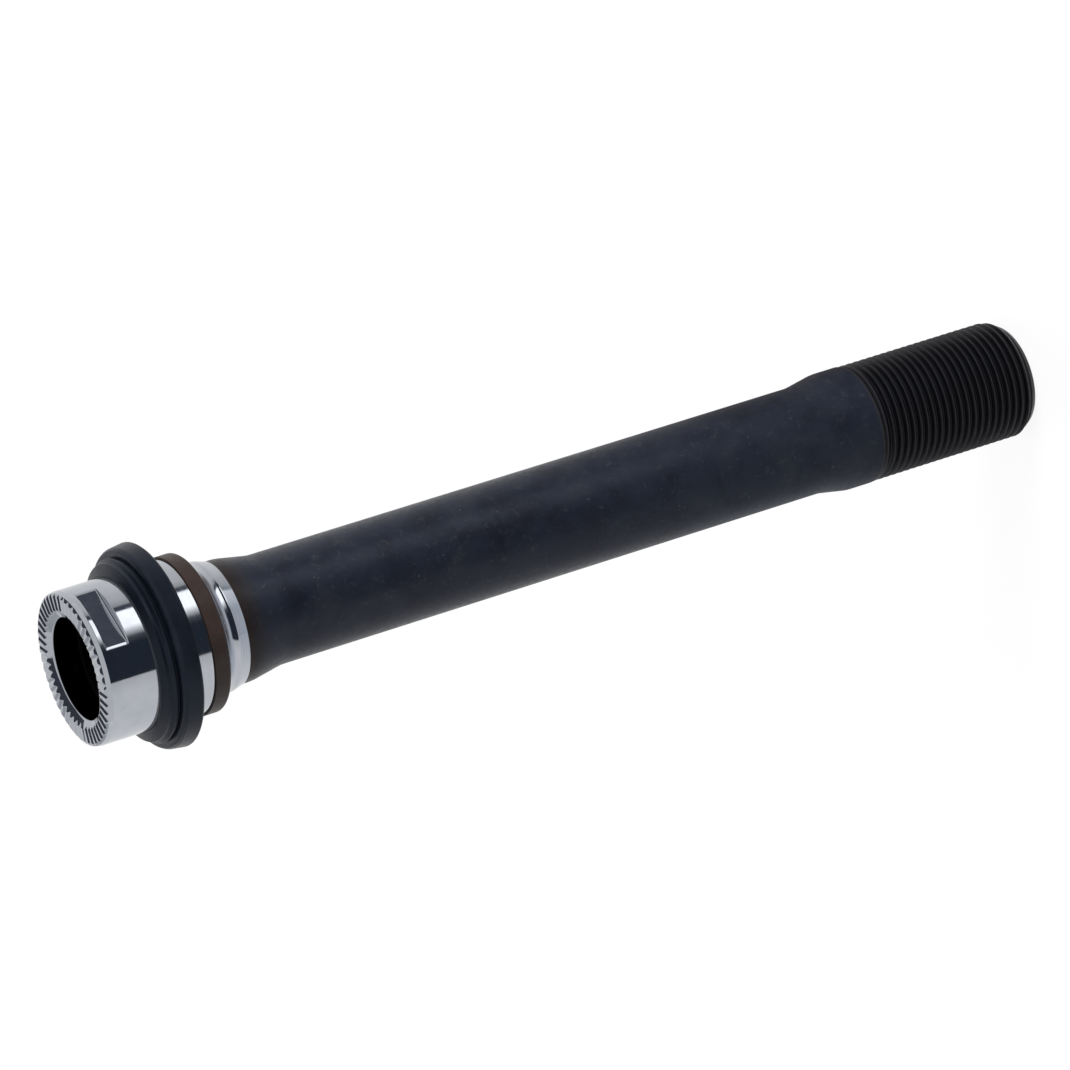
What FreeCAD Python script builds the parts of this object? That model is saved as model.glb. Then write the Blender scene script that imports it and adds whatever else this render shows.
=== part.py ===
"""Hollow hub axle: threaded steel tube with a bearing cone, two seals and a serrated end nut.

The axle stands on its threaded end.  Z is the axis, zero at the threaded end face, and the
serrated face of the end nut is at the top.  All sizes are in millimetres.
"""
import FreeCAD, Part
import math
import os
import re

import Sketcher

doc = FreeCAD.newDocument("hub_axle")
sheet = doc.addObject("Spreadsheet::Sheet", "sizes")

# Driving dimensions: every size that can be set by itself, with what it measures
DIMENSIONS = [
    ("overall_length", 131.9, "threaded end face to the tips of the serrations"),
    ("bore_radius", 6.15, "clear bore of the tube, for a 12 mm through axle"),
    ("thread_wall", 1.35, "bore to the crests of the M15 x 1 threads at both ends of the tube"),
    ("thread_clearance", 0.05, "radial gap between the tube and what is screwed on it"),
    ("thread_length", 23.2, "free thread, from the end face"),
    ("end_chamfer_depth", 0.95, "depth of the lead-in cone of the thread"),
    ("end_chamfer_length", 1.5, "length of the lead-in cone of the thread"),
    ("shank_step", 0.05, "thread crests to the plain shank next to them"),
    ("shank_length", 3.3, "plain shank, up to its taper"),
    ("shank_taper_length", 3.9, "taper from the shank to the waist"),
    ("waist_wall", 0.7, "wall of the slim middle of the tube"),
    ("seat_step", 0.1, "height of the shoulder that the cone is screwed against"),
    ("seat_length", 1.45, "plain length of that shoulder"),
    ("seat_taper_length", 4.2, "taper from the waist to the shoulder"),
    ("taper_blend_radius", 6.0, "rounding at both ends of the two tapers"),
    ("tube_mouth_chamfer", 0.15, "chamfer of the bore at the hidden tube end"),
    ("nut_length", 8.9, "end nut, from the serration tips to its back face"),
    ("nut_wall", 2.0, "wall of the end nut over its thread"),
    ("nut_bevel", 0.2, "width of the slight bevel round the serrated face"),
    ("nut_rim_height", 0.8, "height of that bevel"),
    ("mouth_step", 0.1, "bore of the tube to the hole in the face of the end nut"),
    ("mouth_depth", 3.9, "serration tips to the inner shoulder over the tube end"),
    ("countersink_width", 1.15, "width of the countersink of the mouth"),
    ("countersink_depth", 0.6, "depth of that countersink"),
    ("tooth_count", 48, "radial serrations"),
    ("tooth_depth", 0.22, "depth of a serration groove"),
    ("tooth_angle", 120.0, "included angle of a serration groove, in degrees"),
    ("flat_depth", 1.05, "depth of the two wrench flats, which leaves 17 mm across them"),
    ("flat_setback", 1.4, "serration tips to the flats"),
    ("flat_width", 2.8, "length of the flats along the axis"),
    ("collar_wall", 2.1, "wall of the polished collar of the cone over its thread"),
    ("collar_length", 5.15, "front face of the cone to the groove of the seal ring"),
    ("groove_depth", 0.7, "depth of the groove that holds the seal ring"),
    ("ring_width", 2.15, "width of the seal ring and of its groove"),
    ("ring_stand", 0.25, "how far the seal ring stands proud of the collar"),
    ("ring_back_chamfer", 0.3, "chamfer of the back edge of the seal ring"),
    ("land_step", 0.15, "collar down to the land between the groove and the ball race"),
    ("land_width", 0.12, "width of that land"),
    ("race_width", 2.0, "ball race, along the axis"),
    ("race_radius", 2.45, "section radius of the ball race, for 3/16 inch balls"),
    ("lip_wall", 0.6, "wall of the lip behind the ball race, over the thread"),
    ("lip_length", 1.5, "lip, ball race to the back face of the cone"),
    ("lip_taper", 0.15, "how far the back of the lip tapers in"),
    ("lip_taper_length", 0.85, "length of that taper"),
    ("seal_reach", 2.05, "how far the dust seal covers the end nut"),
    ("seal_front_wall", 0.25, "thickness of the thin front edge of the dust seal"),
    ("seal_ridge_rise", 1.35, "collar to the front edge of the ridge of the dust seal"),
    ("seal_ridge_back_rise", 1.8, "collar to the back edge of the ridge"),
    ("seal_ridge_offset", 0.4, "front edge of the dust seal to the ridge"),
    ("seal_ridge_width", 1.0, "width of the ridge"),
    ("seal_groove_rise", 1.45, "collar to the floor of the groove behind the ridge"),
    ("seal_groove_width", 0.4, "width of that groove"),
    ("seal_face_rise", 2.25, "collar to the inner edge of the flared front of the flange"),
    ("seal_flange_offset", 2.15, "front edge of the dust seal to the rim of its flange"),
    ("seal_front_rise", 2.8, "collar to the front of the flange rim"),
    ("seal_flange_rise", 3.05, "collar to the back of the flange rim, the widest place of the axle"),
    ("seal_flange_width", 2.2, "width of the rim"),
    ("seal_chamfer", 0.25, "chamfer of the front and back edges of the rim"),
]

for row, (alias, amount, meaning) in enumerate(DIMENSIONS, start=1):
    sheet.set(f"A{row}", meaning)
    sheet.set(f"B{row}", str(amount))
    sheet.setAlias(f"B{row}", alias)
doc.recompute()

# Shared radii, each one built on the bore, as formulas in the driving dimensions
THREAD = "bore_radius + thread_wall"
SCREWED_BORE = f"{THREAD} + thread_clearance"
WAIST = "bore_radius + waist_wall"
SHANK = f"{THREAD} + shank_step"
SEAT = f"{SCREWED_BORE} + seat_step"
NUT = f"{SCREWED_BORE} + nut_wall"
MOUTH = "bore_radius + mouth_step"
COLLAR = f"{SCREWED_BORE} + collar_wall"
GROOVE = f"{COLLAR} - groove_depth"

# Heights of the shared faces
TUBE_TOP = "overall_length - mouth_depth"
NUT_BACK = "overall_length - nut_length"
GROOVE_TOP = f"{NUT_BACK} - collar_length"
GROOVE_BOTTOM = f"{GROOVE_TOP} - ring_width"
RACE_TOP = f"{GROOVE_BOTTOM} - land_width"
RACE_BOTTOM = f"{RACE_TOP} - race_width"
CONE_BACK = f"{RACE_BOTTOM} - lip_length"
SEAL_FRONT = f"{NUT_BACK} + seal_reach"


def cells(formula):
    """The formula with each size written as a cell of the sheet."""
    return re.sub(r"\b[a-z_]+\b(?!\()", r"sizes.\g<0>", formula)


def number(formula):
    """The present value of a formula."""
    return float(sheet.evalExpression(formula))


def origin_feature(body, role):
    """The plane or axis of a body's own origin that has this role."""
    return next(item for item in body.Origin.OriginFeatures if item.Role == role)


def new_body(label):
    body = doc.addObject("PartDesign::Body", label)
    body.Label = label
    return body


def new_sketch(body, name, plane):
    sketch = body.newObject("Sketcher::SketchObject", name)
    sketch.AttachmentSupport = [(origin_feature(body, plane), "")]
    sketch.MapMode = "FlatFace"
    return sketch


def pin_coordinate(sketch, kind, geometry, end, formula):
    """Hold one coordinate of a point at a formula; negative places measure from the point."""
    place = number(formula)
    if abs(place) < 1e-9:
        axis = -2 if kind == "DistanceX" else -1
        sketch.addConstraint(Sketcher.Constraint("PointOnObject", geometry, end, axis))
        return
    if place > 0:
        index = sketch.addConstraint(Sketcher.Constraint(kind, -1, 1, geometry, end, place))
        sketch.setExpression(f"Constraints[{index}]", cells(formula))
    else:
        index = sketch.addConstraint(Sketcher.Constraint(kind, geometry, end, -1, 1, -place))
        sketch.setExpression(f"Constraints[{index}]", cells(f"-({formula})"))


def hollow_arc(start, stop, radius):
    """Arc from start to stop that bulges to the left of the way, into the material."""
    chord = stop - start
    right = FreeCAD.Vector(chord.y, -chord.x, 0).normalize()
    centre = (start + stop) * 0.5 + right * math.sqrt(radius ** 2 - (chord.Length / 2) ** 2)
    first = math.atan2(stop.y - centre.y, stop.x - centre.x)
    last = math.atan2(start.y - centre.y, start.x - centre.x)
    return Part.ArcOfCircle(Part.Circle(centre, FreeCAD.Vector(0, 0, 1), radius), first, last)


def add_outline(sketch, corners):
    """Closed outline through corners (x, y), or (x, y, r) where r hollows the side that follows."""
    places = [FreeCAD.Vector(number(corner[0]), number(corner[1]), 0) for corner in corners]
    sides = []
    for corner, start, stop in zip(corners, places, places[1:] + places[:1]):
        if len(corner) == 2:
            side = sketch.addGeometry(Part.LineSegment(start, stop), False)
            sides.append((side, 1, 2))
        else:
            radius = number(corner[2])
            side = sketch.addGeometry(hollow_arc(start, stop, radius), False)
            sides.append((side, 2, 1))
            index = sketch.addConstraint(Sketcher.Constraint("Radius", side, radius))
            sketch.setExpression(f"Constraints[{index}]", cells(corner[2]))
    for (side, start, _), (before, _, stop), corner in zip(sides, sides[-1:] + sides[:-1], corners):
        sketch.addConstraint(Sketcher.Constraint("Coincident", before, stop, side, start))
        pin_coordinate(sketch, "DistanceX", side, start, corner[0])
        pin_coordinate(sketch, "DistanceY", side, start, corner[1])


def turn(body, corners):
    """Solid of revolution about Z of a half section with corners (radius, height)."""
    sketch = new_sketch(body, f"{body.Label}_section", "XZ_Plane")
    add_outline(sketch, corners)
    turned = body.newObject("PartDesign::Revolution", f"{body.Label}_turned")
    turned.Profile = sketch
    turned.ReferenceAxis = (sketch, ["V_Axis"])
    turned.Angle = 360
    doc.recompute()
    return turned


def cut(body, name, corners, start=None):
    """Cut an outline (y, z) along X: right through the body, or to +X alone from the place start."""
    before = body.Shape.Volume
    sketch = new_sketch(body, f"{name}_section", "YZ_Plane")
    if start:
        sketch.setExpression("AttachmentOffset.Base.z", cells(start))
    add_outline(sketch, corners)
    pocket = body.newObject("PartDesign::Pocket", name)
    pocket.Profile = sketch
    pocket.Type = "ThroughAll"
    pocket.SideType = "One side" if start else "Symmetric"
    pocket.Reversed = bool(start)
    doc.recompute()
    if body.Shape.Volume >= before:
        raise RuntimeError(f"{name} cut nothing")
    return pocket


def round_rims(body, name, rims, radius):
    """Round the circular edges at the given (radius, height) places."""
    base = body.Tip
    names = []
    for rim_radius, rim_height in rims:
        for index, edge in enumerate(base.Shape.Edges, start=1):
            if not isinstance(edge.Curve, Part.Circle):
                continue
            off = abs(edge.Curve.Radius - number(rim_radius)) + abs(edge.Curve.Center.z - number(rim_height))
            if off < 1e-4:
                names.append(f"Edge{index}")
    fillet = body.newObject("PartDesign::Fillet", name)
    fillet.Base = (base, names)
    fillet.setExpression("Radius", cells(radius))
    doc.recompute()
    return fillet


def axle_tube():
    """Butted tube: free thread and shank below, slim waist, shoulder and hidden thread above."""
    body = new_body("axle_tube")
    shank_top = "thread_length + shank_length"
    waist_bottom = f"{shank_top} + shank_taper_length"
    seat_bottom = f"{CONE_BACK} - seat_length"
    waist_top = f"{seat_bottom} - seat_taper_length"
    turn(body, [
        ("bore_radius", "0"),
        (f"{THREAD} - end_chamfer_depth", "0"),
        (THREAD, "end_chamfer_length"),
        (THREAD, "thread_length"),
        (SHANK, "thread_length"),
        (SHANK, shank_top),
        (WAIST, waist_bottom),
        (WAIST, waist_top),
        (SEAT, seat_bottom),
        (SEAT, CONE_BACK),
        (THREAD, CONE_BACK),
        (THREAD, TUBE_TOP),
        ("bore_radius + tube_mouth_chamfer", TUBE_TOP),
        ("bore_radius", f"{TUBE_TOP} - tube_mouth_chamfer"),
    ])
    taper_ends = [(SHANK, shank_top), (WAIST, waist_bottom), (WAIST, waist_top), (SEAT, seat_bottom)]
    round_rims(body, "taper_blends", taper_ends, "taper_blend_radius")
    return body


def bearing_cone():
    """Cone with a polished collar, a groove for the seal ring, a ball race and a lip."""
    body = new_body("bearing_cone")
    lip = f"{SCREWED_BORE} + lip_wall"
    land = f"{COLLAR} - land_step"
    turn(body, [
        (SCREWED_BORE, CONE_BACK),
        (f"{lip} - lip_taper", CONE_BACK),
        (lip, f"{CONE_BACK} + lip_taper_length"),
        (lip, RACE_BOTTOM, "race_radius"),
        (land, RACE_TOP),
        (land, GROOVE_BOTTOM),
        (GROOVE, GROOVE_BOTTOM),
        (GROOVE, GROOVE_TOP),
        (COLLAR, GROOVE_TOP),
        (COLLAR, NUT_BACK),
        (SCREWED_BORE, NUT_BACK),
    ])
    return body


def seal_ring():
    """Ring that fills the groove of the cone and stands a little proud of the collar."""
    body = new_body("seal_ring")
    ring = f"{COLLAR} + ring_stand"
    turn(body, [
        (GROOVE, GROOVE_BOTTOM),
        (f"{ring} - ring_back_chamfer", GROOVE_BOTTOM),
        (ring, f"{GROOVE_BOTTOM} + ring_back_chamfer"),
        (ring, GROOVE_TOP),
        (GROOVE, GROOVE_TOP),
    ])
    return body


def dust_seal():
    """Moulded seal on the collar and the nut: ridged front cone and a flange with a plain back."""
    body = new_body("dust_seal")
    rim_top = f"{SEAL_FRONT} - seal_flange_offset"
    rim_bottom = f"{rim_top} - seal_flange_width"
    ridge_top = f"{SEAL_FRONT} - seal_ridge_offset"
    ridge_bottom = f"{ridge_top} - seal_ridge_width"
    floor_bottom = f"{ridge_bottom} - seal_groove_width"
    rim_back = f"{COLLAR} + seal_flange_rise"
    rim_front = f"{COLLAR} + seal_front_rise"
    turn(body, [
        (COLLAR, rim_bottom),
        (f"{rim_back} - seal_chamfer", rim_bottom),
        (rim_back, f"{rim_bottom} + seal_chamfer"),
        (rim_front, f"{rim_top} - seal_chamfer"),
        (f"{rim_front} - seal_chamfer", f"{rim_top} + seal_chamfer"),
        (f"{COLLAR} + seal_face_rise", floor_bottom),
        (f"{COLLAR} + seal_groove_rise", floor_bottom),
        (f"{COLLAR} + seal_groove_rise", ridge_bottom),
        (f"{COLLAR} + seal_ridge_back_rise", ridge_bottom),
        (f"{COLLAR} + seal_ridge_rise", ridge_top),
        (f"{NUT} + seal_front_wall", SEAL_FRONT),
        (NUT, SEAL_FRONT),
        (NUT, NUT_BACK),
        (COLLAR, NUT_BACK),
    ])
    return body


def end_nut():
    """Lock nut with a serrated face, two wrench flats and an inner shoulder over the tube end."""
    body = new_body("end_nut")
    turn(body, [
        (SCREWED_BORE, NUT_BACK),
        (NUT, NUT_BACK),
        (NUT, "overall_length - nut_rim_height"),
        (f"{NUT} - nut_bevel", "overall_length"),
        (f"{MOUTH} + countersink_width", "overall_length"),
        (MOUTH, "overall_length - countersink_depth"),
        (MOUTH, TUBE_TOP),
        (SCREWED_BORE, TUBE_TOP),
    ])
    flat_top = "overall_length - flat_setback"
    flat_bottom = f"{flat_top} - flat_width"
    for name, side in (("flat_back", ""), ("flat_front", "-")):
        cut(body, name, [
            (f"{side}({NUT} - flat_depth)", flat_bottom),
            (f"{side}({NUT} + flat_depth)", flat_bottom),
            (f"{side}({NUT} + flat_depth)", flat_top),
            (f"{side}({NUT} - flat_depth)", flat_top),
        ])
    wedge = "2 * tooth_depth * tan(tooth_angle / 2)"
    groove = cut(body, "serration", [
        ("0", "overall_length - tooth_depth"),
        (wedge, "overall_length + tooth_depth"),
        (f"-({wedge})", "overall_length + tooth_depth"),
    ], start=f"{MOUTH} - tooth_depth")
    serrations = body.newObject("PartDesign::PolarPattern", "serrations")
    serrations.Originals = [groove]
    serrations.Axis = (origin_feature(body, "Z_Axis"), [""])
    serrations.Angle = 360
    serrations.setExpression("Occurrences", cells("tooth_count"))
    body.Tip = serrations
    return body


subparts = [axle_tube(), bearing_cone(), seal_ring(), dust_seal(), end_nut()]
doc.recompute()

for item in doc.Objects:
    if "Invalid" in item.State or "Error" in item.State:
        raise RuntimeError(f"{item.Label} failed: {item.State}")
for body in subparts:
    if body.Shape.isNull() or not body.Shape.isValid():
        raise RuntimeError(f"{body.Label} has no valid shape")

os.makedirs("parts", exist_ok=True)
for body in subparts:
    body.Shape.exportStep(f"parts/{body.Label}.step")
    print(body.Label, len(body.Shape.Solids), "solid", round(body.Shape.Volume, 1), "mm3")
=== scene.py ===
"""Looks of the hollow hub axle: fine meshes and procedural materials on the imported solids."""

import math

import bpy
import numpy as np
from mathutils import Matrix, Vector


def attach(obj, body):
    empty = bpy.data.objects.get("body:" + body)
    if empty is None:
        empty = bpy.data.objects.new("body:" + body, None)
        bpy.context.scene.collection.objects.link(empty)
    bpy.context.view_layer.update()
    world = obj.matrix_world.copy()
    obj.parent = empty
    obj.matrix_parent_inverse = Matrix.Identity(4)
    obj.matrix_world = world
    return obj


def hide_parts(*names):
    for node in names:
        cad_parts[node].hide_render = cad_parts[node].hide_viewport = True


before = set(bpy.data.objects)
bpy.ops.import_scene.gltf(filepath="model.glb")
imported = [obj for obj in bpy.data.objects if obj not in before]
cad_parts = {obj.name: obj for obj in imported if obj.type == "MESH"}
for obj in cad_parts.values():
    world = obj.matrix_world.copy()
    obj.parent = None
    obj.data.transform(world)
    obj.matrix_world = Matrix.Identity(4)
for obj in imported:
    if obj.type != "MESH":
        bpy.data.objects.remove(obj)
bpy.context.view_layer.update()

MM = 0.001

# All sizes of the axle are in millimetres: radii about its axis, and heights above its threaded end

# Tube: its radii, its heights from the thread up, and its chamfers and roundings
BORE, THREAD, SHANK, WAIST, SEAT = 6.15, 7.5, 7.55, 6.85, 7.65
THREAD_END, SHANK_TOP, WAIST_BOTTOM = 23.2, 26.5, 30.4
WAIST_TOP, SEAT_BOTTOM, TUBE_TOP = 106.43, 110.63, 128.0
END_RADIUS, END_CHAMFER, END_BEVEL = 6.55, 1.5, 0.12
TOP_CHAMFER, TOP_BEVEL = 0.2, 0.15
WAIST_ROUND, TUBE_EDGE, LEAD_IN_EDGE = 6.0, 0.03, 0.04

# Thread: its cut, the shares of the pitch at which a flank begins and ends, and its fading at the shank
PITCH, THREAD_DEPTH = 1.0, 0.58
ROOT_SHARE, CREST_SHARE = 0.22, 0.93
THREAD_START, RUNOUT, RUNOUT_GAP, SHANK_STEP = 0.08, 1.4, 0.25, 0.02
THREAD_COLUMNS, ROWS_PER_PITCH = 144, 16

# Brown heat tint of the tube next to the cone
HEAT_START, HEAT_END = 108.8, 112.2

# Cone: its radii, with the arc of the ball race, and its heights
SCREWED_BORE, LIP, LIP_TAPER, RACE, LAND, GROOVE, COLLAR = 7.55, 8.15, 0.4, 1.8, 9.5, 8.95, 9.65
CONE_BACK, RACE_BOTTOM, GROOVE_BOTTOM, GROOVE_TOP = 112.08, 113.58, 115.7, 117.85
LIP_STEP = 0.04

# Brown ring
RING = 9.9

# Seal: its radii from the rim in to the front lip, and its heights
SEAL_RIM, SEAL_BEVEL, SEAL_SHOULDER, SEAL_GROOVE = 12.7, 0.25, 11.9, 11.1
SEAL_RIDGE, SEAL_DIP, SEAL_LIP = 11.45, 10.98, 9.8
SEAL_BACK, RIM_FRONT, SHOULDER_FRONT = 120.7, 122.75, 123.25
RIDGE_BACK, RIDGE_FRONT, DIP_HEIGHT, SEAL_NOSE, SEAL_FRONT = 123.65, 123.85, 124.18, 124.62, 125.05

# Nut: its radii, its heights, depths below its top, and how much of it the seal covers
NUT, NUT_FACE, COUNTERSINK, MOUTH = 9.55, 9.35, 7.4, 6.25
NUT_BACK, TOP = 123.0, 131.9
NOSE_DEPTH, COUNTERSINK_DEPTH = 0.8, 0.6
RIM_WIDTH, RIM_DEPTH, RIM_EDGE = 0.35, 0.24, 0.06
SEAL_COVER = 1.6

# Serrations, with the depth of the face that takes them
TEETH, TOOTH_DEPTH, TOOTH_ANGLE, COLUMNS_PER_TOOTH = 48, 0.22, 120.0, 18
FACE_DEPTH, TOOTH_EDGE = 0.7, 0.03

# Wrench flats, with the height over which a shoulder turns and the shares of it that have rows
FLAT, FLAT_TOP, FLAT_BOTTOM, FLAT_EDGE = 8.5, 130.5, 127.7, 0.12
SHOULDER = 0.04
SHOULDER_ROWS = (-0.5, -0.48, 0.48, 0.5)


def rounded(corners, steps=5, support=0.03, longest=4.0):
    """Points of a closed section through corners (r, z, rounding), anticlockwise in r and z.

    A point beside each rounding keeps the long sides flat in the shading.
    """
    points = []
    count = len(corners)
    for i in range(count):
        here = np.array(corners[i][:2], float)
        back = np.array(corners[i - 1][:2], float) - here
        ahead = np.array(corners[(i + 1) % count][:2], float) - here
        radius = corners[i][2]
        if radius == 0:
            points.append(here)
            continue
        back_length, ahead_length = np.linalg.norm(back), np.linalg.norm(ahead)
        back, ahead = back / back_length, ahead / ahead_length
        half = math.acos(np.clip(back @ ahead, -1, 1)) / 2
        reach = radius / math.tan(half)
        middle = back + ahead
        centre = here + middle / np.linalg.norm(middle) * radius / math.sin(half)
        if reach + support < back_length / 2:
            points.append(here + back * (reach + support))
        points += arc(centre, radius, here + back * reach, here + ahead * reach, steps)
        if reach + support < ahead_length / 2:
            points.append(here + ahead * (reach + support))
    dense = []
    for here, after in zip(points, points[1:] + points[:1]):
        parts = max(1, math.ceil(np.linalg.norm(after - here) / longest))
        dense += [here + (after - here) * k / parts for k in range(parts)]
    return np.array(dense)


def arc(centre, radius, start, stop, steps):
    """Points on the shorter arc about a centre from start to stop, both included."""
    first = math.atan2(*(start - centre)[::-1])
    sweep = math.atan2(*(stop - centre)[::-1]) - first
    sweep = (sweep + math.pi) % (2 * math.pi) - math.pi
    angles = [first + sweep * k / steps for k in range(steps + 1)]
    return [centre + radius * np.array([math.cos(angle), math.sin(angle)]) for angle in angles]


def hollow(start, stop, radius, steps):
    """Corners between start and stop on an arc that is hollow to the right of the way."""
    start, stop = np.array(start), np.array(stop)
    chord = stop - start
    length = np.linalg.norm(chord)
    right = np.array([chord[1], -chord[0]]) / length
    centre = (start + stop) / 2 + right * math.sqrt(radius ** 2 - (length / 2) ** 2)
    return [(r, z, 0) for r, z in arc(centre, radius, start, stop, steps)[1:-1]]


def run_of(section, start, stop):
    """Points of a closed section from the one nearest to start on to the one nearest to stop."""
    def nearest(points, place):
        return int(np.argmin(np.hypot(points[:, 0] - place[0], points[:, 1] - place[1])))

    section = np.roll(section, -(nearest(section, stop) + 1), axis=0)
    return section[nearest(section, start):]


def only_corners(section, hidden):
    """Section without the points that split its straight runs where it is hidden."""
    before = section - np.roll(section, 1, axis=0)
    after = np.roll(section, -1, axis=0) - section
    corner = np.abs(before[:, 0] * after[:, 1] - before[:, 1] * after[:, 0]) > 1e-9
    return section[corner | ~hidden]


def smooth_min(a, b, blend):
    """Lower of two heights, with the corner between them rounded."""
    h = np.clip(0.5 + 0.5 * (b - a) / blend, 0, 1)
    return b + (a - b) * h - blend * h * (1 - h)


def add_mesh(name, places, faces):
    """New mesh object in the scene."""
    mesh = bpy.data.meshes.new(name)
    mesh.from_pydata(places, [], faces)
    mesh.update()
    thing = bpy.data.objects.new(name, mesh)
    bpy.context.scene.collection.objects.link(thing)
    return thing


def ring_piece(node, radius, height, material):
    """Closed mesh of radius and height arrays: rows along the section, columns round the axis."""
    rows, columns = radius.shape
    angle = np.linspace(0, 2 * math.pi, columns, endpoint=False)[None, :]
    places = np.stack([radius * np.cos(angle), radius * np.sin(angle), height], axis=-1) * MM
    here = np.arange(rows * columns).reshape(rows, columns)
    beside = np.roll(here, -1, axis=1)
    quads = np.stack([here, beside, np.roll(beside, -1, axis=0), np.roll(here, -1, axis=0)], axis=-1)
    piece = add_mesh(node + "_look", places.reshape(-1, 3).tolist(), quads.reshape(-1, 4).tolist())
    piece.data.shade_smooth()
    piece.data.materials.append(material)
    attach(piece, "root")
    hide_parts(node)


def turned_piece(node, section, material, columns=256):
    """Piece of one section turned about the axis."""
    ones = np.ones((1, columns))
    ring_piece(node, section[:, :1] * ones, section[:, 1:] * ones, material)


class Nodes:
    """Short way to make and join the nodes of a material."""

    def __init__(self, name):
        self.material = bpy.data.materials.new(name)
        self.material.use_nodes = True
        self.tree = self.material.node_tree
        self.shader = self.tree.nodes["Principled BSDF"]
        self.place = self.tree.nodes.new("ShaderNodeTexCoord").outputs["Object"]

    def add(self, kind, **inputs):
        """Node of a kind, with constants for its inputs."""
        node = self.tree.nodes.new(kind)
        for name, value in inputs.items():
            node.inputs[name.replace("_", " ")].default_value = value
        return node

    def join(self, out, into):
        self.tree.links.new(out, into)

    def noise(self, scale, detail=3.0, roughness=0.5, stretch=(1, 1, 1), distortion=0.0):
        """Noise at a scale given in repeats per metre."""
        mapping = self.add("ShaderNodeMapping", Scale=stretch)
        self.join(self.place, mapping.inputs["Vector"])
        noise = self.add("ShaderNodeTexNoise", Scale=scale, Detail=detail, Roughness=roughness,
                         Distortion=distortion)
        self.join(mapping.outputs["Vector"], noise.inputs["Vector"])
        return noise.outputs["Fac"]

    def ramp(self, value, stops):
        """Colour ramp over a value, with stops (place, colour)."""
        return colour_ramp(self.tree, value, stops)

    def grey(self, value, low, high, start, stop):
        """A value that runs from low to high while the input runs from start to stop."""
        spread = self.add("ShaderNodeMapRange", From_Min=start, From_Max=stop, To_Min=low, To_Max=high)
        self.join(value, spread.inputs["Value"])
        return spread.outputs["Result"]

    def mix(self, factor, first, second):
        """Colour between two colours, each a socket or a constant."""
        return colour_mix(self.tree, factor, first, second)

    def bump(self, height, strength, distance):
        """Bump of the surface by a height, with its depth in metres."""
        bump = self.add("ShaderNodeBump", Strength=strength, Distance=distance)
        self.join(height, bump.inputs["Height"])
        self.join(bump.outputs["Normal"], self.shader.inputs["Normal"])

    def height(self):
        """Height of a point above the threaded end face, in metres."""
        parts = self.add("ShaderNodeSeparateXYZ")
        self.join(self.place, parts.inputs["Vector"])
        return parts.outputs["Z"]

    def radius(self):
        """Distance of a point from the axis, in metres."""
        flat = self.add("ShaderNodeMapping", Scale=(1, 1, 0))
        self.join(self.place, flat.inputs["Vector"])
        length = self.add("ShaderNodeVectorMath")
        length.operation = "LENGTH"
        self.join(flat.outputs["Vector"], length.inputs[0])
        return length.outputs["Value"]

    def bore_shade(self):
        """Mask for painted shade: 1 on the walls of the tube's hollow and of the mouth, 0 outside them."""
        return self.grey(self.radius(), 1.0, 0.0, (MOUTH + 0.02) * MM, (MOUTH + 0.05) * MM)

    def set(self, **values):
        """Constant inputs of the surface shader."""
        for name, value in values.items():
            self.shader.inputs[name.replace("_", " ")].default_value = value

    def surface(self, **sockets):
        """Sockets joined to inputs of the surface shader."""
        for name, socket in sockets.items():
            self.join(socket, self.shader.inputs[name.replace("_", " ")])


def colour_ramp(tree, value, stops):
    """Colour ramp over a value from 0 to 1, with stops (place, colour)."""
    ramp = tree.nodes.new("ShaderNodeValToRGB")
    elements = ramp.color_ramp.elements
    while len(elements) < len(stops):
        elements.new(1.0)
    for element, (place, colour) in zip(elements, stops):
        element.position = place
        element.color = (*colour, 1.0)
    tree.links.new(value, ramp.inputs["Fac"])
    return ramp.outputs["Color"]


def colour_mix(tree, factor, first, second):
    """Colour between two colours, each a socket or a constant.

    Inputs 6 and 7 and output 2 are the colour sockets of the node.
    """
    mix = tree.nodes.new("ShaderNodeMix")
    mix.data_type = "RGBA"
    tree.links.new(factor, mix.inputs[0])
    for socket, value in ((mix.inputs[6], first), (mix.inputs[7], second)):
        if isinstance(value, bpy.types.NodeSocket):
            tree.links.new(value, socket)
        else:
            socket.default_value = (*value, 1.0)
    return mix.outputs[2]


def chrome_material():
    """Chrome plate with faint smudges, and painted shade that makes it black inside the mouth."""
    nodes = Nodes("chrome_plate")
    nodes.set(Metallic=1.0)
    smudge = nodes.noise(420, detail=4)
    plate = nodes.ramp(smudge, [(0.3, (0.44, 0.46, 0.51)), (0.7, (0.50, 0.52, 0.56))])
    # Painted shade: the walls of the mouth are near black
    nodes.surface(
        Base_Color=nodes.mix(nodes.bore_shade(), plate, (0.008, 0.008, 0.009)),
        Roughness=nodes.grey(nodes.noise(900, detail=5), 0.04, 0.10, 0.35, 0.7),
    )
    nodes.bump(nodes.noise(2600, detail=2), 0.06, 0.00002)
    return nodes.material


def polished_material():
    """Ground steel with fine lines round the axis."""
    nodes = Nodes("polished_steel")
    nodes.set(Metallic=1.0)
    lines = nodes.noise(140, detail=3, stretch=(1, 1, 90))
    nodes.surface(
        Base_Color=nodes.ramp(lines, [(0.3, (0.44, 0.46, 0.50)), (0.7, (0.51, 0.53, 0.57))]),
        Roughness=nodes.grey(lines, 0.05, 0.13, 0.3, 0.7),
    )
    nodes.bump(lines, 0.03, 0.00002)
    return nodes.material


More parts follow.
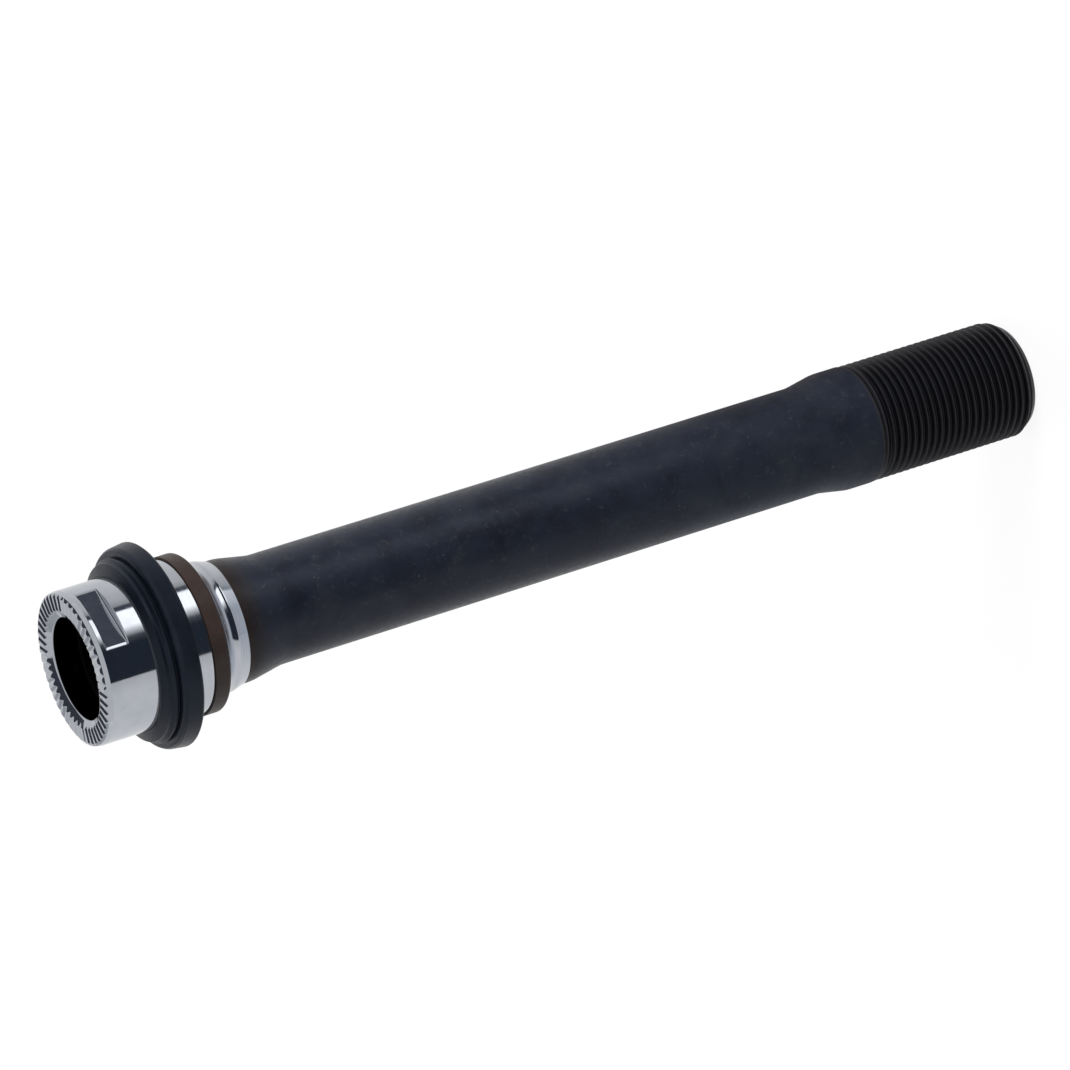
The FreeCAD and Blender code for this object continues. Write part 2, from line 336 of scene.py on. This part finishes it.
def oxide_material():
    """Black oxide with a blue cast and brown next to the cone; painted shade makes it darker on the thread,
    save at the crests, and inside the tube.
    """
    nodes = Nodes("black_oxide_steel")
    nodes.set(Specular_IOR_Level=0.23)
    cloud = nodes.noise(160, detail=5, roughness=0.6, distortion=0.6)
    grain = nodes.noise(1500, detail=4, roughness=0.6)
    dust = nodes.noise(1000, detail=6, roughness=0.75, distortion=0.6)
    speck = nodes.noise(1900, detail=3, roughness=0.7)
    heat = nodes.grey(nodes.height(), 0.0, 1.0, HEAT_START * MM, HEAT_END * MM)
    thread = nodes.grey(nodes.height(), 1.0, 0.0, (THREAD_END - 0.1) * MM, (THREAD_END + 0.1) * MM)
    crest = nodes.grey(nodes.radius(), 0.0, 1.0, (THREAD - 0.06) * MM, (THREAD - 0.005) * MM)
    bore_shade = nodes.bore_shade()

    base = nodes.ramp(cloud, [
        (0.34, (0.005, 0.006, 0.011)),
        (0.52, (0.008, 0.010, 0.018)),
        (0.70, (0.012, 0.014, 0.020)),
    ])
    base = nodes.mix(nodes.grey(dust, 0.0, 0.28, 0.56, 0.72), base, (0.058, 0.062, 0.066))
    base = nodes.mix(nodes.grey(speck, 0.0, 0.5, 0.685, 0.735), base, (0.105, 0.115, 0.115))
    base = nodes.mix(heat, base, (0.013, 0.009, 0.0075))
    # Painted shade: the thread's flanks and roots are near black, its crests lighter
    cut = nodes.mix(crest, (0.002, 0.002, 0.003), (0.018, 0.018, 0.021))
    base = nodes.mix(thread, base, cut)
    # Painted shade: near black inside the tube
    base = nodes.mix(bore_shade, base, (0.002, 0.002, 0.002))

    gloss = nodes.mix(heat, (0.76, 0.84, 0.98), (0.62, 0.56, 0.52))
    gloss = nodes.mix(thread, gloss, (0.85, 0.87, 0.95))
    # Painted shade: weak gloss inside the tube
    gloss = nodes.mix(bore_shade, gloss, (0.1, 0.1, 0.1))

    worn = nodes.mix(thread, (0.0, 0.0, 0.0), crest)
    satin = nodes.grey(grain, 0.30, 0.44, 0.3, 0.7)
    nodes.surface(Base_Color=base, Specular_Tint=gloss, Roughness=nodes.mix(worn, satin, (0.2, 0.2, 0.2)))
    nodes.bump(grain, 0.10, 0.00004)
    return nodes.material


def rubber_material():
    """Black rubber with a faint bloom and a fine grain."""
    nodes = Nodes("black_rubber")
    nodes.set(Specular_IOR_Level=0.24, Specular_Tint=(0.66, 0.78, 1.0, 1.0))
    bloom = nodes.noise(240, detail=4, roughness=0.6)
    grain = nodes.noise(3200, detail=3)
    nodes.surface(
        Base_Color=nodes.ramp(bloom, [(0.3, (0.002, 0.003, 0.006)), (0.75, (0.006, 0.008, 0.014))]),
        Roughness=nodes.grey(grain, 0.30, 0.42, 0.3, 0.7),
    )
    nodes.bump(grain, 0.10, 0.00003)
    return nodes.material


def ring_material():
    """Satin brown with a faint bloom and a fine grain."""
    nodes = Nodes("brown_ring")
    nodes.set(Specular_IOR_Level=0.24)
    bloom = nodes.noise(300, detail=4, roughness=0.6)
    grain = nodes.noise(2800, detail=3)
    nodes.surface(
        Base_Color=nodes.ramp(bloom, [(0.3, (0.017, 0.010, 0.008)), (0.75, (0.030, 0.018, 0.015))]),
        Roughness=nodes.grey(grain, 0.38, 0.52, 0.3, 0.7),
    )
    nodes.bump(grain, 0.12, 0.00003)
    return nodes.material


def thread_rows(columns):
    """Radius and height arrays of the helical thread, from the end face up to the shank."""
    rows = int(ROWS_PER_PITCH * (THREAD_END - THREAD_START) / PITCH)
    height = np.linspace(THREAD_START, THREAD_END - SHANK_STEP, rows)[:, None]
    turn = np.linspace(0, 1, columns, endpoint=False)[None, :]
    wave = np.abs(2 * ((height / PITCH + turn) % 1.0) - 1)
    flank = np.clip((wave - ROOT_SHARE) / (CREST_SHARE - ROOT_SHARE), 0, 1)
    flank = 0.75 * flank + 0.25 * flank ** 2 * (3 - 2 * flank)
    runout = np.clip((THREAD_END - RUNOUT_GAP - height) / RUNOUT, 0, 1)
    cut = THREAD - THREAD_DEPTH * runout * (1 - flank)
    lead_in = END_RADIUS + (THREAD - END_RADIUS) * np.clip(height / END_CHAMFER, 0, 1)
    return smooth_min(cut, lead_in, LEAD_IN_EDGE), np.broadcast_to(height, cut.shape)


def make_tube():
    """Tube with a cut helical thread on its free end."""
    section = rounded([
        (SHANK, THREAD_END + SHANK_STEP, 0.06),
        (SHANK, SHANK_TOP, WAIST_ROUND),
        (WAIST, WAIST_BOTTOM, WAIST_ROUND),
        (WAIST, WAIST_TOP, WAIST_ROUND),
        (SEAT, SEAT_BOTTOM, WAIST_ROUND),
        (SEAT, CONE_BACK, 0.04),
        (THREAD, CONE_BACK, 0),
        (THREAD, TUBE_TOP - TOP_CHAMFER, 0),
        (THREAD - TOP_CHAMFER, TUBE_TOP, TUBE_EDGE),
        (BORE + TOP_BEVEL, TUBE_TOP, TUBE_EDGE),
        (BORE, TUBE_TOP - TOP_BEVEL, TUBE_EDGE),
        (BORE, END_BEVEL, TUBE_EDGE),
        (BORE + END_BEVEL, 0, TUBE_EDGE),
        (END_RADIUS, 0, 0.05),
    ])
    plain = run_of(section, (SHANK, THREAD_END), (END_RADIUS, 0))
    cut, tall = thread_rows(THREAD_COLUMNS)
    ones = np.ones((1, THREAD_COLUMNS))
    radius = np.concatenate([plain[:, :1] * ones, cut])
    height = np.concatenate([plain[:, 1:] * ones, tall])
    ring_piece("axle_tube", radius, height, oxide_material())


def make_cone():
    """Cone with a tapered lip, a hollow ball race, the ring's groove and the collar."""
    section = rounded([
        (SCREWED_BORE, CONE_BACK, 0),
        (LIP - LIP_TAPER, CONE_BACK, 0.12),
        (LIP - LIP_STEP / 4, RACE_BOTTOM - LIP_STEP, 0),
        (LIP, RACE_BOTTOM, 0),
        *hollow((LIP, RACE_BOTTOM), (LAND, GROOVE_BOTTOM), RACE, 24),
        (LAND, GROOVE_BOTTOM, 0),
        (GROOVE, GROOVE_BOTTOM, 0),
        (GROOVE, GROOVE_TOP, 0),
        (COLLAR, GROOVE_TOP, 0.06),
        (COLLAR, NUT_BACK, 0.15),
        (SCREWED_BORE, NUT_BACK, 0),
    ])
    turned_piece("bearing_cone", section, polished_material())


def make_ring():
    """Ring that fills the groove of the cone and stands a little above it."""
    section = rounded([
        (GROOVE, GROOVE_BOTTOM, 0),
        (RING, GROOVE_BOTTOM, 0.4),
        (RING, GROOVE_TOP, 0.12),
        (GROOVE, GROOVE_TOP, 0),
    ])
    turned_piece("seal_ring", section, ring_material())


def make_seal():
    """Seal with a flared rim, a groove, a ridge with a shallow dip, and a lip on the nut."""
    section = rounded([
        (COLLAR, SEAL_BACK, 0.05),
        (SEAL_RIM - SEAL_BEVEL, SEAL_BACK, 0.15),
        (SEAL_RIM, SEAL_BACK + SEAL_BEVEL, 0.25),
        (SEAL_RIM - SEAL_BEVEL, RIM_FRONT, 0.5),
        (SEAL_SHOULDER + 0.3, SHOULDER_FRONT - 0.07, 0.3),
        (SEAL_SHOULDER, SHOULDER_FRONT, 0.06),
        (SEAL_GROOVE, SHOULDER_FRONT, 0.12),
        (SEAL_GROOVE, RIDGE_BACK, 0.12),
        (SEAL_RIDGE, RIDGE_BACK, 0.05),
        (SEAL_RIDGE - 0.04, RIDGE_FRONT, 0.08),
        (SEAL_DIP, DIP_HEIGHT, 0.15),
        (SEAL_DIP + 0.04, SEAL_NOSE, 0.06),
        (SEAL_LIP, SEAL_FRONT, 0.06),
        (NUT, SEAL_FRONT, 0.03),
        (NUT, NUT_BACK, 0),
        (COLLAR, NUT_BACK, 0),
    ])
    turned_piece("dust_seal", section, rubber_material())


def nut_section():
    """Section of the nut, fine where it shows, with rows that turn the shoulders of the flats."""
    section = rounded([
        (SCREWED_BORE, NUT_BACK, 0),
        (NUT, NUT_BACK, 0.2),
        *[(NUT, FLAT_BOTTOM + SHOULDER * k, 0) for k in SHOULDER_ROWS],
        *[(NUT, FLAT_TOP + SHOULDER * k, 0) for k in SHOULDER_ROWS],
        (NUT, TOP - NOSE_DEPTH, 0.3),
        (NUT_FACE + RIM_EDGE, TOP - RIM_DEPTH, RIM_EDGE),
        (NUT_FACE - RIM_WIDTH, TOP, 0.05),
        (COUNTERSINK, TOP, 0.06),
        (MOUTH, TOP - COUNTERSINK_DEPTH, 0.4),
        (MOUTH, TUBE_TOP, 0),
        (SCREWED_BORE, TUBE_TOP, 0),
    ], longest=0.16)
    under_seal = section[:, 1] < NUT_BACK + SEAL_COVER
    inside = (section[:, 0] < NUT_FACE) & (section[:, 1] < TOP - NOSE_DEPTH)
    return only_corners(section, under_seal | inside)


def serrated(radius, height, angle):
    """Heights lowered to the V grooves that run out from the axis."""
    step = 2 * math.pi / TEETH
    off = (angle + step / 2) % step - step / 2
    slope = 1 / math.tan(math.radians(TOOTH_ANGLE / 2))
    groove = TOP - TOOTH_DEPTH + slope * np.hypot(radius * np.sin(off), TOOTH_EDGE)
    return smooth_min(height, groove, TOOTH_EDGE)


def flattened(radius, section, angle):
    """Radii drawn in to the two flats, between the shoulders of the flats."""
    across = FLAT / np.maximum(np.abs(np.sin(angle)), 1e-3)
    pull = (section[:, 0] > NUT - 0.01) * np.clip((section[:, 1] - FLAT_BOTTOM) / SHOULDER + 0.5, 0, 1)
    pull = pull * np.clip((FLAT_TOP - section[:, 1]) / SHOULDER + 0.5, 0, 1)
    return radius + pull[:, None] * (smooth_min(radius, across, FLAT_EDGE) - radius)


def make_nut():
    """Nut as one grid: the serrations lower the face, and the flats draw in the wall."""
    columns = TEETH * COLUMNS_PER_TOOTH
    section = nut_section()
    angle = np.linspace(0, 2 * math.pi, columns, endpoint=False)[None, :]
    radius = section[:, :1] * np.ones((1, columns))
    height = section[:, 1:] * np.ones((1, columns))
    face = section[:, 1] > TOP - FACE_DEPTH
    height[face] = serrated(radius[face], height[face], angle)
    ring_piece("end_nut", flattened(radius, section, angle), height, chrome_material())


# Studio card: its brightness, its radii and height in metres, and the colours on it
CARD_STRENGTH = 2.0
CARD_INNER, CARD_OUTER, CARD_HEIGHT = 0.012, 3.0, 0.0004
WALL, DIM_WALL, SOFTBOX = (0.44, 0.44, 0.44), (0.36, 0.36, 0.36), (1.0, 1.0, 1.0)
STRIP, DARK, DUSK = (0.045, 0.050, 0.062), (0.013, 0.017, 0.024), (0.05, 0.055, 0.065)
HALF, QUARTER = (0.5, 0.5, 0.5), (0.25, 0.25, 0.25)
PALE, DIM, BROWN = (0.30, 0.32, 0.35), (0.11, 0.10, 0.10), (0.05, 0.04, 0.037)

# Colours by the angle round the axle in degrees, from +X towards +Y
CARD_FAR = [
    (-180.0, WALL),
    (-159.0, DIM_WALL),
    (-157.5, DARK),
    (-61.0, DARK),
    (-54.5, STRIP),
    (-42.0, DIM_WALL),
    (0.0, WALL),
    (179.0, WALL),
]
CARD_SOFTBOX = [
    (-180.0, WALL),
    (-159.0, DIM_WALL),
    (-157.5, DARK),
    (-112.0, DARK),
    (-103.0, DUSK),
    (-94.0, HALF),
    (-87.0, SOFTBOX),
    (-63.0, SOFTBOX),
    (-61.0, STRIP),
    (-54.5, STRIP),
    (-52.5, QUARTER),
    (-42.0, DIM_WALL),
    (0.0, WALL),
    (179.0, WALL),
]
CARD_PALE = [(-180.0, PALE), (179.0, PALE)]
CARD_DIM = [(-180.0, PALE), (-60.0, PALE), (-15.0, DIM), (45.0, DIM), (110.0, PALE), (179.0, PALE)]
CARD_BROWN = [(-180.0, BROWN), (179.0, BROWN)]

# Rings on the card from outside in: the radii in metres between which each fades out, and its colours
CARD_RINGS = [
    (0.37, 0.40, CARD_SOFTBOX),
    (0.085, 0.12, CARD_PALE),
    (0.09, 0.14, CARD_DIM),
    (0.015, 0.07, CARD_BROWN),
]

# Floor: half its side in metres, its shade and the share of its own white; then the light of the surroundings
FLOOR_SIZE, FLOOR_SHADE, FLOOR_WHITE = 6.0, (0.9, 0.9, 0.9), 0.9
SOFT_LIGHT, WHITE_LIGHT = 0.75, 1.0

# Point on the axis that the lamps look at, in metres
LAMP_AIM = (0, 0, 0.07)

# Camera of the photograph: place in metres, then its turn, downward tilt and roll in degrees
CAMERA_PLACE = (-0.391703, -0.584807, 0.391902)
CAMERA_TURN, CAMERA_TILT, CAMERA_ROLL = 33.7177, 24.6257, 107.4947
CAMERA_LENS, CAMERA_SENSOR = 213.46, 36.0


def plain_material(name):
    """Empty material, with its node tree and its output node."""
    material = bpy.data.materials.new(name)
    material.use_nodes = True
    tree = material.node_tree
    tree.nodes.clear()
    return material, tree, tree.nodes.new("ShaderNodeOutputMaterial")


def seen_rays(tree):
    """1 for camera, glossy and transmission rays, 0 for the rest."""
    path = tree.nodes.new("ShaderNodeLightPath")
    total = path.outputs["Is Camera Ray"]
    for name in ("Is Glossy Ray", "Is Transmission Ray"):
        most = tree.nodes.new("ShaderNodeMath")
        most.operation = "MAXIMUM"
        tree.links.new(total, most.inputs[0])
        tree.links.new(path.outputs[name], most.inputs[1])
        total = most.outputs[0]
    return total


def glossy_only(thing):
    """Leaves a thing of the studio to reflections alone."""
    thing.visible_camera = False
    thing.visible_diffuse = False
    thing.visible_transmission = False
    thing.visible_volume_scatter = False
    thing.visible_shadow = False


def mix_shaders(tree, factor, first, second, output):
    """Two shaders mixed into the surface of an output node."""
    mix = tree.nodes.new("ShaderNodeMixShader")
    tree.links.new(factor, mix.inputs[0])
    tree.links.new(first.outputs[0], mix.inputs[1])
    tree.links.new(second.outputs[0], mix.inputs[2])
    tree.links.new(mix.outputs[0], output.inputs["Surface"])


def make_floor():
    """White floor: mostly its own white, with a share that takes the shadow."""
    size = FLOOR_SIZE
    floor = add_mesh("floor", [(-size, -size, 0), (size, -size, 0), (size, size, 0), (-size, size, 0)],
                     [(0, 1, 2, 3)])
    material, tree, output = plain_material("white_floor")
    white = tree.nodes.new("ShaderNodeEmission")
    shade = tree.nodes.new("ShaderNodeBsdfDiffuse")
    shade.inputs["Color"].default_value = (*FLOOR_SHADE, 1)
    share = tree.nodes.new("ShaderNodeMath")
    share.operation = "MULTIPLY"
    share.inputs[1].default_value = FLOOR_WHITE
    tree.links.new(seen_rays(tree), share.inputs[0])
    mix_shaders(tree, share.outputs[0], shade, white, output)
    floor.data.materials.append(material)


def flat_ring(name, inner, outer, height, columns=96):
    """Flat ring round the axle at a height."""
    angle = np.linspace(0, 2 * math.pi, columns, endpoint=False)
    edge = np.stack([np.cos(angle), np.sin(angle)], axis=-1)
    places = [(x * radius, y * radius, height) for radius in (inner, outer) for x, y in edge]
    quads = [(i, columns + i, columns + (i + 1) % columns, (i + 1) % columns) for i in range(columns)]
    return add_mesh(name, places, quads)


def angle_ramp(tree, turn, stops):
    """Colour round the axle, with stops (angle in degrees, colour)."""
    return colour_ramp(tree, turn, [((angle + 180) / 360, colour) for angle, colour in stops])


def make_card():
    """Studio card on the floor round the axle that only gloss sees: a softbox, and dark beside it."""
    card = flat_ring("studio_card", CARD_INNER, CARD_OUTER, CARD_HEIGHT)
    material, tree, output = plain_material("studio_card")
    place = tree.nodes.new("ShaderNodeTexCoord")
    around = tree.nodes.new("ShaderNodeTexGradient")
    around.gradient_type = "RADIAL"
    away = tree.nodes.new("ShaderNodeVectorMath")
    away.operation = "LENGTH"
    tree.links.new(place.outputs["Object"], around.inputs["Vector"])
    tree.links.new(place.outputs["Object"], away.inputs[0])
    colour = angle_ramp(tree, around.outputs["Fac"], CARD_FAR)
    for start, stop, stops in CARD_RINGS:
        fade = tree.nodes.new("ShaderNodeMapRange")
        fade.inputs["From Min"].default_value = start
        fade.inputs["From Max"].default_value = stop
        tree.links.new(away.outputs["Value"], fade.inputs["Value"])
        inner = angle_ramp(tree, around.outputs["Fac"], stops)
        colour = colour_mix(tree, fade.outputs["Result"], inner, colour)
    light = tree.nodes.new("ShaderNodeEmission")
    light.inputs["Strength"].default_value = CARD_STRENGTH
    tree.links.new(colour, light.inputs["Color"])
    tree.links.new(light.outputs[0], output.inputs["Surface"])
    card.data.materials.append(material)
    glossy_only(card)


def make_flag(name, azimuth, rise, distance, edges, colour):
    """Flag that leans over the end nut and that only gloss sees.

    The azimuth and rise are in degrees, and the edges are left, right, low and high, in metres.
    """
    left, right, low, high = edges
    flag = add_mesh(name, [(left, low, 0), (right, low, 0), (right, high, 0), (left, high, 0)],
                    [(0, 1, 2, 3)])
    turn = Matrix.Rotation(math.radians(azimuth + 90), 4, "Z")
    turn = turn @ Matrix.Rotation(math.radians(90 - rise), 4, "X")
    toward = turn @ Vector((0, 0, 1))
    flag.matrix_world = Matrix.Translation(Vector((0, 0, TOP * MM)) + toward * distance) @ turn
    material, tree, output = plain_material(name)
    glow = tree.nodes.new("ShaderNodeEmission")
    glow.inputs["Color"].default_value = (*colour, 1)
    tree.links.new(glow.outputs[0], output.inputs["Surface"])
    flag.data.materials.append(material)
    glossy_only(flag)


def make_world():
    """White all round for what is seen, softer for the light on the axle."""
    world = bpy.data.worlds.new("studio")
    bpy.context.scene.world = world
    world.use_nodes = True
    tree = world.node_tree
    tree.nodes.clear()
    output = tree.nodes.new("ShaderNodeOutputWorld")
    soft = tree.nodes.new("ShaderNodeBackground")
    soft.inputs["Strength"].default_value = SOFT_LIGHT
    seen = tree.nodes.new("ShaderNodeBackground")
    seen.inputs["Strength"].default_value = WHITE_LIGHT
    mix_shaders(tree, seen_rays(tree), soft, seen, output)


def make_lamp(name, place, size, power):
    """Round soft lamp that doesn't show in reflections."""
    lamp = bpy.data.lights.new(name, "AREA")
    lamp.shape = "DISK"
    lamp.size = size
    lamp.energy = power
    thing = bpy.data.objects.new(name, lamp)
    thing.location = place
    thing.rotation_euler = (Vector(LAMP_AIM) - Vector(place)).to_track_quat("-Z", "Y").to_euler()
    thing.visible_glossy = False
    thing.visible_camera = False
    bpy.context.scene.collection.objects.link(thing)


def make_camera():
    """Camera turned about the upright, tilted down and rolled."""
    data = bpy.data.cameras.new("camera")
    data.sensor_width = CAMERA_SENSOR
    data.lens = CAMERA_LENS
    data.clip_start = 0.01
    camera = bpy.data.objects.new("camera", data)
    turn = Matrix.Rotation(math.radians(-CAMERA_TURN), 4, "Z")
    tilt = Matrix.Rotation(math.radians(90 - CAMERA_TILT), 4, "X")
    roll = Matrix.Rotation(math.radians(-CAMERA_ROLL), 4, "Z")
    camera.matrix_world = Matrix.Translation(CAMERA_PLACE) @ turn @ tilt @ roll
    bpy.context.scene.collection.objects.link(camera)
    bpy.context.scene.camera = camera


make_tube()
make_cone()
make_ring()
make_seal()
make_nut()

make_floor()
make_card()
make_flag("dark_flag", azimuth=5, rise=58, distance=0.4,
          edges=(-0.28, 0.19, -0.21, 0.29), colour=(0.06, 0.065, 0.08))
make_flag("grey_flag", azimuth=88, rise=26, distance=0.6,
          edges=(-0.2, 0.2, -0.19, 0.19), colour=(0.5, 0.51, 0.53))
make_world()
make_lamp("key_lamp", place=(0.28, -0.62, 0.42), size=0.5, power=6.0)
make_lamp("fill_lamp", place=(0.45, 0.55, 0.70), size=0.7, power=5.0)
make_camera()
bpy.context.scene.view_settings.view_transform = "Standard"
